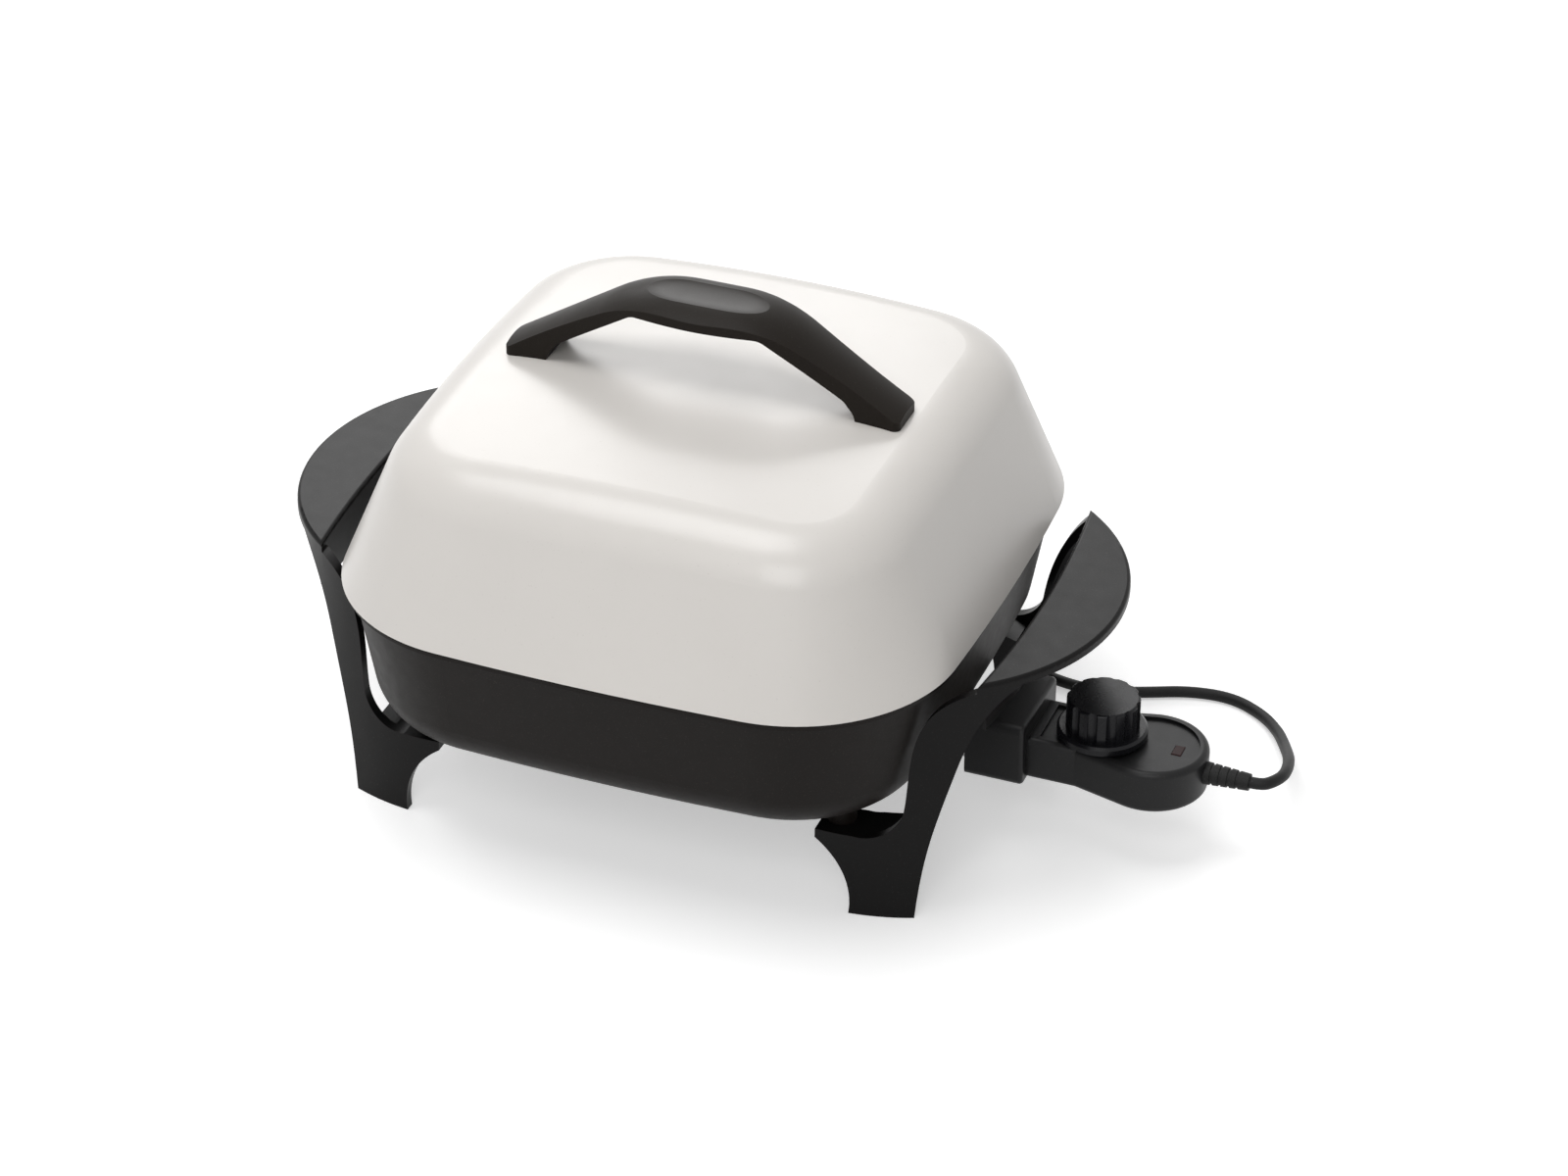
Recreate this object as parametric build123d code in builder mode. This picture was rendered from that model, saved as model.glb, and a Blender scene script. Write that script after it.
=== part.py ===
"""Electric skillet: square dome-lidded pan on two handle-and-leg mouldings, with a plug-in heat control.

Millimetres. The origin is on the table under the middle of the pan. +X is the side that the heat
control plugs into, -Y is the front and +Z is up.
"""

import os
from math import acos, asin, atan2, cos, degrees, pi, radians, sin, sqrt, tan

from build123d import *

os.makedirs("parts", exist_ok=True)

# ---------------------------------------------------------------- clearances
body_gap = 0.3            # between pieces that move apart
seat_gap = 0.05           # between a round piece and the seat that it is fixed in
shaft_clearance = 0.08    # radial, dial shaft in its bush

# ---------------------------------------------------------------- outline of pan and lid
side_bow_radius = 1400.0      # the four sides bow outwards a little
rim_corner_radius = 78.0      # at the lid's rim; smaller outlines are set in from it

# ---------------------------------------------------------------- pan
pan_bottom_z = 52.0
pan_top_half_width = 144.6
pan_flare = 12.6              # the bottom is narrower by this on each side
pan_bottom_round = 24.0
pan_wall = 3.0
pan_floor = 5.0
flange_thickness = 3.0
flange_inset = 1.4            # from the lid's rim
lip_height = 3.4              # upstand inside the lid's rim
lip_wall = 2.4
lip_inset = 1.6               # from the pan's top
lip_clearance = 1.0           # sideways, from the lid's hem

# cast-in heating element, its ridge under the pan and the block that it ends in
element_radius = 3.6
element_drop = 7.0            # its axis, below the pan's bottom
element_loop_inset = 62.0     # from the pan's bottom edge
element_turn_inset = 38.0     # from the terminal face
element_loop_radius = 28.0
element_end_radius = 9.0
element_end_inset = 8.0       # from the terminal face
ridge_width = 12.6
ridge_depth = 12.0            # below the pan's bottom
terminal_face_inset = 10.0    # from the pan's bottom edge
terminal_block_length = 26.0
terminal_block_half_width = 24.0
terminal_block_drop = 12.8    # below the pan's bottom
pin_spacing = 22.0
pin_radius = 2.4
pin_length = 30.0             # beyond the terminal face
pin_tip_chamfer = 0.7
insulator_radius = 4.6
insulator_length = 10.0
insulator_proud = 4.0
socket_depth = 58.0           # blind hole for the sensor tube
socket_boss_width = 15.0
socket_end_wall = 4.0
underside_bite = 3.0          # how far bosses and ridges reach up into the pan's floor

# sheet guard round the pins
guard_length = 26.0
guard_half_width = 19.0
guard_height = 10.8
guard_sheet = 1.0
guard_tab_length = 20.0
guard_tab_half_width = 23.0
guard_corner_round = 4.0
guard_screw_inset = 12.0      # from the terminal face
guard_screw_y = 20.0
guard_screw_radius = 1.5
guard_screw_bite = 6.0
guard_screw_head_radius = 2.8
guard_screw_head_height = 1.8

# ---------------------------------------------------------------- handle-and-leg mouldings
arc_centre_x = 99.0           # plan centre of the curved wall
arc_inset = 27.0              # radius at the table, from the pan's bottom edge
arc_lean = 3.4                # the wall leans in by this up to the handle's top
handle_top_z = 121.5
handle_plate = 4.2
handle_edge_round = 1.8
handle_tip_at = 27.5          # ends of the handle's bowed inner edge, beyond the pan's bottom edge
handle_chord_at = 33.0        # middle of that edge
web_thickness = 3.0           # upright web under the inner edge
web_height = 21.0
web_half_length = 77.0
leg_wall = 5.0
foot_inner_at = -22.0         # this and the next sizes named _at: from the pan's bottom edge
foot_flare_at = -27.0
foot_flare_z = 25.0
ledge_end_at = -39.0
ledge_bend_at = -21.0
ledge_far_at = -4.0
ledge_thickness = 4.5
ledge_drop = 10.0             # its top, below the pan's bottom
ledge_depth = 23.0            # from the wall's outer face towards the middle
shoulder_at = -3.5            # inner edge of both legs, under the pan's corner
shoulder_z = 48.0
front_root_at = 1.0           # inner edge of the front leg, which closes in on the pan
front_root_z = 57.0
front_mid_at = 2.5
front_mid_z = 76.0
front_top_at = 10.5
front_top_z = 107.0
rear_root_at = 4.0            # inner edge of the rear leg, which leaves a gap
rear_root_z = 60.0
rear_mid_at = 9.8
rear_mid_z = 84.0
arch_from_at = 5.0
arch_foot_inset = 8.0         # edge of the arch between the two legs, from the wall's radius
arch_low_inset = 11.5
arch_low_z = 40.0
arch_mid_inset = 17.5
arch_mid_z = 76.0
arch_high_inset = 23.0
arch_high_z = 97.0
arch_shoulder_inset = 32.0
arch_shoulder_z = 112.0
arch_top_inset = 39.0
pan_slot = 2.0                # gap between pan and moulding

# fixing of the mouldings
leg_screw_inset_x = 31.0      # from the pan's bottom edge
leg_screw_inset_y = 42.0
leg_boss_radius = 7.0
leg_screw_radius = 2.5
leg_screw_bite = 5.5          # thread length above the ledge
drill_allowance = 0.5         # blind holes are deeper than the thread by this
leg_screw_head_radius = 4.6
leg_screw_head_height = 3.0
leg_washer_radius = 6.0
leg_washer_thickness = 1.0

# ---------------------------------------------------------------- lid
lid_rim_z = 122.5
lid_wall = 1.4
lid_height = 80.5             # rim to crown
lid_lean = 33.2               # the sides lean in by this up to where they would meet the top
lid_top_corner_radius = 47.0
lid_shoulder_round = 31.0
lid_crown_radius = 1250.0
lid_hem_width = 5.0           # inward hem that stands on the flange
lid_hem = 1.8
lid_hem_root = 1.1            # how far the hem starts inside the lid's outer face

# lid handle
grip_rise = 42.0              # crest in the middle, above the lid's crown
grip_end_rise = 1.7           # crest at the ends
grip_corner_x = 32.0          # where the lines of the crest and of the sloping arms would meet
grip_bend_radius = 70.0
grip_crown_radius = 43.0
grip_band_half_width = 22.0   # before it is trimmed to its plan
grip_band_depth = 34.0        # before the underside is cut
grip_end_x = 96.5
grip_mid_half_width = 20.5
grip_arm_x = 35.0
grip_arm_half_width = 16.8
grip_end_half_width = 12.5
grip_end_corner = 3.5
grip_thickness = 9.5          # in the middle
grip_underside_half = 31.0
grip_knee_round = 8.0
post_knee_x = 70.0
post_knee_rise = 7.2          # above the lid's crown
post_foot_x = 75.5
thumb_dish_depth = 2.2
thumb_dish_radius = 60.0
lid_screw_x = 83.0
lid_screw_radius = 2.0
lid_screw_bite = 8.0
lid_screw_head_radius = 3.9
lid_screw_head_height = 2.4
lid_washer_radius = 6.0
lid_washer_thickness = 0.8

# ---------------------------------------------------------------- heat control
# sizes named _at run from the hood's front, and sizes named _rise from the sensor tube's axis
hood_gap = 15.0               # hood's front, from the terminal face
hood_back_at = 28.0
hood_half_width = 25.0
hood_bottom_rise = -13.0
hood_top_rise = 19.0
hood_wall = 2.6
hood_back_wall = 7.0
hood_round = 4.0
hood_edge_round = 2.0
housing_upper_height = 10.0
housing_lower_height = 11.6
housing_wall = 2.4
housing_round = 3.0
neck_half_width = 18.5
neck_end_at = 51.0
bulb_at = 82.5
bulb_radius = 26.0
top_recess_inset = 4.5
top_recess_depth = 1.4
housing_post_radius = 3.4
housing_screw_radius = 1.5
housing_screw_bite = 5.0      # thread length in the upper housing
housing_screw_head_radius = 2.4
housing_screw_head_height = 1.4
front_post_at = 46.0
front_post_y = 12.4
rear_post_at = 94.0
rear_post_y = 13.2

# dial
dial_at = 58.0
dial_shaft_radius = 3.0
dial_bush_radius = 5.6
dial_bush_depth = 2.0
dial_collar_radius = 5.0
dial_collar_thickness = 1.2
dial_pusher_radius = 1.5
dial_radius = 21.0
dial_skirt_height = 4.0
dial_grip_radius = 17.0
dial_top_rise = 29.5
dial_lift = 0.4               # over the housing
dial_flutes = 12
dial_flute_radius = 3.0
dial_flute_depth = 1.4
dial_edge_round = 1.2
dial_socket_depth = 13.0

# sensor and switch
sensor_radius = 3.2
sensor_wall = 0.5
sensor_tip_gap = 1.0          # left between the tip and the end of its socket
sensor_tip_round = 2.4
sensor_rod_radius = 1.4
contact_outer_radius = 3.7
contact_bore_radius = 2.7
contact_front_at = 4.0
contact_bore_end_at = 23.0
contact_end_at = 33.0
bracket_sheet = 1.2
bracket_front_at = 37.8
bracket_end_at = 77.0
bracket_half_width = 6.0
bracket_rise = -5.6           # underside, on the housing's two pads
bracket_height = 10.6
pad_radius = 3.0
pad_inset = 5.0               # from the bracket's ends
stack_front_at = 69.0
stack_height = 8.0
stack_half_width = 4.5
leaf_thickness = 0.5
leaf_half_width = 2.5
leaf_front_at = 44.0
leaf_tab_depth = 1.5
moving_leaf_end_at = 80.0
fixed_leaf_end_at = 83.5
fixed_leaf_rise = -2.4
moving_leaf_rise = 0.7
contact_point_at = 48.0
contact_point_radius = 1.6
contact_opening = 0.4         # between the points with the dial off
lead_radius = 1.0
lead_bend_at = 37.0           # bends of the long wires
lead_up_at = 41.4
lead_down_at = 87.0
lead_low_at = 96.0
link_down_at = 72.0           # short wire to the moving leaf
link_end_at = 78.8
link_crest = 0.4
return_start_at = 82.0        # wire from the fixed leaf
return_low_at = 91.0
return_rise = 1.0
lead_y = 7.4
lead_high_rise = 4.4
lead_bend_radius = 1.5
lead_end_y = 2.2
pilot_at = 94.5
pilot_half_length = 2.4
pilot_half_width = 4.0
pilot_lens_proud = 0.4
pilot_lens_depth = 2.6
lamp_radius = 1.8
lamp_length = 8.0
lamp_rise = 4.4

# ---------------------------------------------------------------- mains cord
cord_diameter = 5.6
relief_end_at = 129.0
relief_neck_radius = 5.4
relief_end_radius = 4.0
relief_flange_radius = 6.6
relief_flange_at = 103.2      # inner face of its flange
relief_flange_end_at = 105.0
relief_grooves = 4
relief_groove_width = 1.4
relief_groove_depth = 0.9
relief_groove_pitch = 4.0
relief_first_groove_at = 111.5
table_gap = 0.1
cord_floor_z = cord_diameter / 2 + table_gap
coil_x = 35.5
coil_y = 152.7
coil_radius = 31.5
coil_turns = 2                # side by side
cord_exit_turn = 51.0         # degrees beyond whole turns before the tail leaves the coil
tail_length = 26.0
coil_edge_round = 2.2
plug_z = 8.4                  # the tail crosses over the coil
plug_nose_length = 16.0
plug_nose_radius = 4.6
plug_nose_taper = 3.0         # degrees
plug_length = 30.0
plug_width = 24.0
plug_height = 15.0
plug_round = 4.0
blade_length = 17.5
blade_width = 6.3
blade_thickness = 1.5
blade_spacing = 12.7
blade_seat = 6.0
cord_corner_share = 0.45      # of the shorter run at a corner that its arc takes up

# the cord's route from the strain relief to its coil, as laid on the table
cord_route = [
    (266.0, 0.0, 45.0),
    (271.5, 0.0, 45.0),
    (275.4, 4.2, 44.7),
    (278.2, 13.0, 43.2),
    (277.0, 25.5, 39.4),
    (273.4, 42.0, 32.6),
    (267.8, 60.6, 23.4),
    (261.2, 80.4, 13.8),
    (253.4, 99.6, 6.8),
    (241.5, 115.6, 3.4),
    (223.5, 125.4, cord_floor_z),
    (202.5, 123.4, cord_floor_z),
    (183.0, 114.5, cord_floor_z),
    (164.0, 107.0, cord_floor_z),
    (144.0, 107.5, cord_floor_z),
    (125.0, 113.5, cord_floor_z),
    (107.0, 124.0, cord_floor_z),
    (91.5, 139.5, cord_floor_z),
    (76.0, 157.0, cord_floor_z),
    (62.2, 174.2, cord_floor_z),
]

# ---------------------------------------------------------------- sizes worked out from the above
pan_bottom_half_width = pan_top_half_width - pan_flare
lip_half_width = pan_top_half_width - lip_inset
lid_half_width = lip_half_width + lip_clearance + lid_hem_width
lid_top_half_width = lid_half_width - lid_lean
flange_half_width = lid_half_width - flange_inset
flange_z = lid_rim_z - body_gap
flange_bottom_z = flange_z - flange_thickness
lip_top_z = flange_z + lip_height
lid_top_z = lid_rim_z + lid_height

element_z = pan_bottom_z - element_drop
element_loop_half = pan_bottom_half_width - element_loop_inset
terminal_face_x = pan_bottom_half_width - terminal_face_inset
terminal_block_bottom_z = pan_bottom_z - terminal_block_drop
element_turn_x = terminal_face_x - element_turn_inset
element_end_x = terminal_face_x - element_end_inset
pin_end_x = terminal_face_x + pin_length
guard_screw_x = terminal_face_x - guard_screw_inset
guard_z = terminal_block_bottom_z - guard_sheet

arc_foot_radius = pan_bottom_half_width - arc_inset
arc_top_radius = arc_foot_radius - arc_lean
handle_underside_z = handle_top_z - handle_plate
handle_chord_x = pan_bottom_half_width + handle_chord_at
handle_tip_x = pan_bottom_half_width + handle_tip_at
handle_tip_y = sqrt(arc_foot_radius**2 - (handle_tip_x - arc_centre_x) ** 2)
foot_inner_x = pan_bottom_half_width + foot_inner_at
foot_flare_x = pan_bottom_half_width + foot_flare_at
ledge_end_x = pan_bottom_half_width + ledge_end_at
ledge_bend_x = pan_bottom_half_width + ledge_bend_at
ledge_far_x = pan_bottom_half_width + ledge_far_at
ledge_top_z = pan_bottom_z - ledge_drop
ledge_bottom_z = ledge_top_z - ledge_thickness
shoulder_x = pan_bottom_half_width + shoulder_at
handle_tip = (handle_tip_x, handle_underside_z)
front_blade = [
    (pan_bottom_half_width + front_root_at, front_root_z),
    (pan_bottom_half_width + front_mid_at, front_mid_z),
    (pan_bottom_half_width + front_top_at, front_top_z),
    handle_tip,
]
rear_blade = [
    (pan_bottom_half_width + rear_root_at, rear_root_z),
    (pan_bottom_half_width + rear_mid_at, rear_mid_z),
    handle_tip,
]
arch_from_x = pan_bottom_half_width + arch_from_at
arch_edge = [
    (arc_foot_radius - arch_foot_inset, 0),
    (arc_foot_radius - arch_low_inset, arch_low_z),
    (arc_foot_radius - arch_mid_inset, arch_mid_z),
    (arc_foot_radius - arch_high_inset, arch_high_z),
    (arc_foot_radius - arch_shoulder_inset, arch_shoulder_z),
    (arc_foot_radius - arch_top_inset, handle_underside_z),
]
leg_screw_x = pan_bottom_half_width - leg_screw_inset_x
leg_screw_y = pan_bottom_half_width - leg_screw_inset_y

grip_top_z = lid_top_z + grip_rise
grip_end_z = lid_top_z + grip_end_rise
grip_arm_fall = (grip_top_z - grip_end_z) / (grip_end_x - grip_corner_x)
grip_underside_z = grip_top_z - grip_thickness
post_knee_z = lid_top_z + post_knee_rise

control_z = element_z
hood_front_x = terminal_face_x + hood_gap
hood_back_x = hood_front_x + hood_back_at
neck_end_x = hood_front_x + neck_end_at
bulb_x = hood_front_x + bulb_at
front_post_x = hood_front_x + front_post_at
rear_post_x = hood_front_x + rear_post_at
dial_x = hood_front_x + dial_at
sensor_tip_x = terminal_face_x - socket_depth + sensor_tip_gap
contact_front_x = hood_front_x + contact_front_at
contact_bore_end_x = hood_front_x + contact_bore_end_at
contact_end_x = hood_front_x + contact_end_at
bracket_front_x = hood_front_x + bracket_front_at
bracket_end_x = hood_front_x + bracket_end_at
stack_front_x = hood_front_x + stack_front_at
leaf_front_x = hood_front_x + leaf_front_at
moving_leaf_end_x = hood_front_x + moving_leaf_end_at
fixed_leaf_end_x = hood_front_x + fixed_leaf_end_at
contact_point_x = hood_front_x + contact_point_at
pilot_x = hood_front_x + pilot_at
relief_end_x = hood_front_x + relief_end_at
relief_flange_x = hood_front_x + relief_flange_at
relief_flange_end_x = hood_front_x + relief_flange_end_at
relief_first_groove_x = hood_front_x + relief_first_groove_at
hood_bottom_z = control_z + hood_bottom_rise
hood_top_z = control_z + hood_top_rise
bracket_z = control_z + bracket_rise
fixed_leaf_z = control_z + fixed_leaf_rise
moving_leaf_z = control_z + moving_leaf_rise
lead_high_z = control_z + lead_high_rise
lamp_z = control_z + lamp_rise
dial_top_z = control_z + dial_top_rise
housing_bottom_z = control_z - housing_lower_height
housing_top_z = control_z + housing_upper_height
housing_end_x = bulb_x + bulb_radius
recess_z = housing_top_z - top_recess_depth
ceiling_z = housing_top_z - housing_wall
floor_plate_z = housing_bottom_z + housing_wall
coil_half_width = coil_turns * cord_diameter / 2


# ================================================================ shared shapes
def square_outline(half_width, corner_radius, height):
    """Square with bowed sides and round corners, at a height."""
    corner = side_bow_radius * (sqrt(1 + 2 * half_width / side_bow_radius) - 1)
    with BuildSketch(Plane.XY.offset(height)) as outline:
        with BuildLine():
            for turn in range(4):
                side = [Vector(corner, -corner), Vector(half_width, 0), Vector(corner, corner)]
                ThreePointArc(*[point.rotate(Axis.Z, 90 * turn) for point in side])
        make_face()
        fillet(outline.vertices(), corner_radius)
    return outline.sketch


def even_outline(half_width, height):
    """Outline set in from the lid's rim by the same gap all round."""
    return square_outline(half_width, rim_corner_radius - (lid_half_width - half_width), height)


def tub(bottom_half_width, top_half_width, bottom_z, top_z, bottom_round):
    """Solid tub with sloping sides and a rounded bottom edge."""
    with BuildPart() as solid:
        loft([even_outline(bottom_half_width, bottom_z), even_outline(top_half_width, top_z)], ruled=True)
        fillet(solid.faces().sort_by(Axis.Z)[0].edges(), bottom_round)
    return solid.part


def dome(inset):
    """Solid dome of the lid, set in by a wall thickness."""
    crown_z = lid_top_z - inset
    crown_radius = lid_crown_radius - inset
    with BuildPart() as solid:
        loft(
            [
                square_outline(lid_half_width - inset, rim_corner_radius - inset, lid_rim_z),
                square_outline(lid_top_half_width - inset, lid_top_corner_radius - inset, crown_z + 1),
            ],
            ruled=True,
        )
        with Locations((0, 0, crown_z - crown_radius)):
            Sphere(crown_radius, mode=Mode.INTERSECT)
        fillet(solid.faces().sort_by(Axis.Z)[-1].edges(), lid_shoulder_round - inset)
    return solid.part


def screws(places, shank_radius, shank_length, head_radius, head_height):
    """Pan-head screws: each plane lies under its head, and its normal runs along the shank."""
    head_round = 0.5 * head_height
    with BuildPart() as group:
        for place in places:
            side = Plane(origin=place.origin, x_dir=place.x_dir, z_dir=-place.y_dir)
            with BuildSketch(side):
                with BuildLine():
                    head = Polyline(
                        (0, -head_height),
                        (head_radius - head_round, -head_height),
                    )
                    RadiusArc(head @ 1, (head_radius, head_round - head_height), -head_round)
                    Polyline(
                        (head_radius, head_round - head_height),
                        (head_radius, 0),
                        (shank_radius, 0),
                        (shank_radius, shank_length),
                        (0, shank_length),
                        (0, -head_height),
                    )
                make_face()
            revolve(axis=Axis(place.origin, place.z_dir))
            with BuildSketch(place.offset(-head_height)):
                Rectangle(1.1 * head_radius, 0.3 * head_radius)
                Rectangle(0.3 * head_radius, 1.1 * head_radius)
            extrude(amount=0.5 * head_height, mode=Mode.SUBTRACT)
    return group.part


def washers(places, outer_radius, hole_radius, thickness):
    """Flat washers whose lower faces lie on the given planes."""
    with BuildPart() as group:
        for place in places:
            with BuildSketch(place):
                Circle(outer_radius)
                Circle(hole_radius, mode=Mode.SUBTRACT)
            extrude(amount=thickness)
    return group.part


def rod_between(start, end, radius):
    """Round rod from one point to another."""
    axis = Vector(*end) - Vector(*start)
    with BuildPart() as rod:
        with BuildSketch(Plane(origin=start, z_dir=axis)):
            Circle(radius)
        extrude(amount=axis.length)
    return rod.part


def swept_rod(path, radius):
    """Round rod along a line of straight runs and tangent arcs."""
    with BuildPart() as rod:
        with BuildSketch(Plane(origin=path @ 0, z_dir=path % 0)):
            Circle(radius)
        sweep(path=path)
    return rod.part


# ================================================================ heating element and its path
with BuildLine() as element_line:
    FilletPolyline(
        (element_end_x, pin_spacing / 2, element_z),
        (element_turn_x, pin_spacing / 2, element_z),
        (element_turn_x, element_loop_half, element_z),
        (-element_loop_half, element_loop_half, element_z),
        (-element_loop_half, -element_loop_half, element_z),
        (element_turn_x, -element_loop_half, element_z),
        (element_turn_x, -pin_spacing / 2, element_z),
        (element_end_x, -pin_spacing / 2, element_z),
        radius=[element_end_radius, *4 * [element_loop_radius], element_end_radius],
    )
pin_places = [(pin_spacing / 2, element_z), (-pin_spacing / 2, element_z)]

with BuildPart() as heating_element:
    add(swept_rod(element_line.wire(), element_radius))
heating_element.part.label = "heating_element"
export_step(heating_element.part, "parts/heating_element.step")

with BuildPart() as terminal_pins:
    with BuildSketch(Plane.YZ.offset(element_end_x)):
        with Locations(*pin_places):
            Circle(pin_radius)
    extrude(amount=pin_end_x - element_end_x)
    tips = terminal_pins.faces().sort_by(Axis.X)[-2:].edges()
    chamfer(tips, pin_tip_chamfer)
terminal_pins.part.label = "terminal_pins"
export_step(terminal_pins.part, "parts/terminal_pins.step")

with BuildPart() as pin_insulators:
    with BuildSketch(Plane.YZ.offset(terminal_face_x + insulator_proud)):
        with Locations(*pin_places):
            Circle(insulator_radius)
            Circle(pin_radius + seat_gap, mode=Mode.SUBTRACT)
    extrude(amount=-insulator_length)
pin_insulators.part.label = "pin_insulators"
export_step(pin_insulators.part, "parts/pin_insulators.step")

# ================================================================ pan
leg_screw_points = [(x, y) for x in (leg_screw_x, -leg_screw_x) for y in (leg_screw_y, -leg_screw_y)]
guard_screw_points = [(guard_screw_x, guard_screw_y), (guard_screw_x, -guard_screw_y)]

with BuildPart() as pan:
    add(tub(pan_bottom_half_width, pan_top_half_width, pan_bottom_z, flange_z, pan_bottom_round))
    extrude(even_outline(flange_half_width, flange_bottom_z), amount=flange_thickness)
    extrude(even_outline(lip_half_width, flange_z), amount=lip_height)
    # four bosses that stand on the mouldings' ledges
    with BuildSketch(Plane.XY.offset(ledge_top_z)):
        with Locations(*leg_screw_points):
            Circle(leg_boss_radius)
    extrude(amount=pan_bottom_z + underside_bite - ledge_top_z)
    # ridge over the cast-in element
    ridge_start = Plane(origin=element_line.wire() @ 0, x_dir=(0, -1, 0), z_dir=element_line.wire() % 0)
    with BuildSketch(ridge_start):
        with Locations((0, pan_bottom_z - ridge_depth - element_z)):
            Rectangle(ridge_width, ridge_depth + underside_bite, align=(Align.CENTER, Align.MIN))
    sweep(path=element_line.wire())
    # boss round the sensor's socket, and the block that carries the terminals
    with BuildSketch(Plane.XY.offset(terminal_block_bottom_z)):
        with Locations((terminal_face_x, 0)):
            Rectangle(socket_depth + socket_end_wall, socket_boss_width, align=(Align.MAX, Align.CENTER))
            Rectangle(terminal_block_length, 2 * terminal_block_half_width, align=(Align.MAX, Align.CENTER))
    extrude(amount=pan_bottom_z + underside_bite - terminal_block_bottom_z)
    # cooking space
    add(
        tub(
            pan_bottom_half_width - pan_wall,
            lip_half_width - lip_wall,
            pan_bottom_z + pan_floor,
            lip_top_z + 1,
            pan_bottom_round - pan_wall,
        ),
        mode=Mode.SUBTRACT,
    )
    # tunnel of the element, seats of the insulators, socket of the sensor tube
    add(swept_rod(element_line.wire(), element_radius + seat_gap), mode=Mode.SUBTRACT)
    with BuildSketch(Plane.YZ.offset(terminal_face_x)):
        with Locations(*pin_places):
            Circle(insulator_radius + seat_gap)
    extrude(amount=-(terminal_face_x - element_end_x), mode=Mode.SUBTRACT)
    with BuildSketch(Plane.YZ.offset(terminal_face_x)):
        with Locations((0, control_z)):
            Circle(sensor_radius + body_gap)
    extrude(amount=-socket_depth, mode=Mode.SUBTRACT)
    # blind screw holes
    with BuildSketch(Plane.XY.offset(ledge_top_z)):
        with Locations(*leg_screw_points):
            Circle(leg_screw_radius + seat_gap)
    extrude(amount=leg_screw_bite + drill_allowance, mode=Mode.SUBTRACT)
    with BuildSketch(Plane.XY.offset(terminal_block_bottom_z)):
        with Locations(*guard_screw_points):
            Circle(guard_screw_radius + seat_gap)
    extrude(amount=guard_screw_bite + drill_allowance, mode=Mode.SUBTRACT)
pan.part.label = "pan"
export_step(pan.part, "parts/pan.step")

with BuildPart() as terminal_guard:
    with BuildSketch(Plane.XY.offset(guard_z)):
        with Locations((terminal_face_x, 0)):
            Rectangle(guard_tab_length, 2 * guard_tab_half_width, align=(Align.MAX, Align.CENTER))
            Rectangle(guard_length, 2 * guard_half_width, align=(Align.MIN, Align.CENTER))
        with Locations(*guard_screw_points):
            Circle(guard_screw_radius + seat_gap, mode=Mode.SUBTRACT)
    extrude(amount=guard_sheet)
    # the two sides are bent up in front of the terminal face
    with BuildSketch(Plane.XY.offset(guard_z)):
        for side in (1, -1):
            with Locations((terminal_face_x + body_gap, side * (guard_half_width - guard_sheet / 2))):
                Rectangle(guard_length - body_gap, guard_sheet, align=(Align.MIN, Align.CENTER))
    extrude(amount=guard_height)
    top_corners = terminal_guard.edges().filter_by(Axis.Y).group_by(Axis.Z)[-1]
    fillet(top_corners.group_by(Axis.X)[-1], guard_corner_round)
terminal_guard.part.label = "terminal_guard"
export_step(terminal_guard.part, "parts/terminal_guard.step")

with BuildPart() as guard_screws:
    guard_screw_places = [Plane(origin=(x, y, guard_z), z_dir=(0, 0, 1)) for x, y in guard_screw_points]
    add(screws(guard_screw_places, guard_screw_radius, guard_sheet + guard_screw_bite,
               guard_screw_head_radius, guard_screw_head_height))
guard_screws.part.label = "guard_screws"
export_step(guard_screws.part, "parts/guard_screws.step")

# ================================================================ handle-and-leg mouldings
moulding_taper = degrees(atan2(arc_lean, handle_top_z))



def leg_view(blade):
    """Front view of a leg and the handle over it: foot, ledge, and the leg's inner edge."""
    with BuildSketch(Plane.XZ) as view:
        with BuildLine():
            foot_edge = ThreePointArc(
                (foot_inner_x, 0), (foot_flare_x, foot_flare_z), (ledge_end_x, ledge_bottom_z)
            )
            ledge_edge = Polyline(foot_edge @ 1, (ledge_end_x, ledge_top_z), (ledge_bend_x, ledge_top_z))
            shoulder = ThreePointArc(ledge_edge @ 1, (shoulder_x, shoulder_z), blade[0])
            edge = Spline(shoulder @ 1, *blade[1:])
            Polyline(
                edge @ 1,
                (handle_tip_x, handle_top_z),
                (arc_centre_x + arc_foot_radius, handle_top_z),
                (arc_centre_x + arc_foot_radius, 0),
                (foot_inner_x, 0),
            )
        make_face()
    return view.sketch


with BuildPart() as leg_views:
    extrude(leg_view(front_blade), amount=2 * arc_foot_radius)
    extrude(leg_view(rear_blade), amount=-2 * arc_foot_radius)

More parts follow.
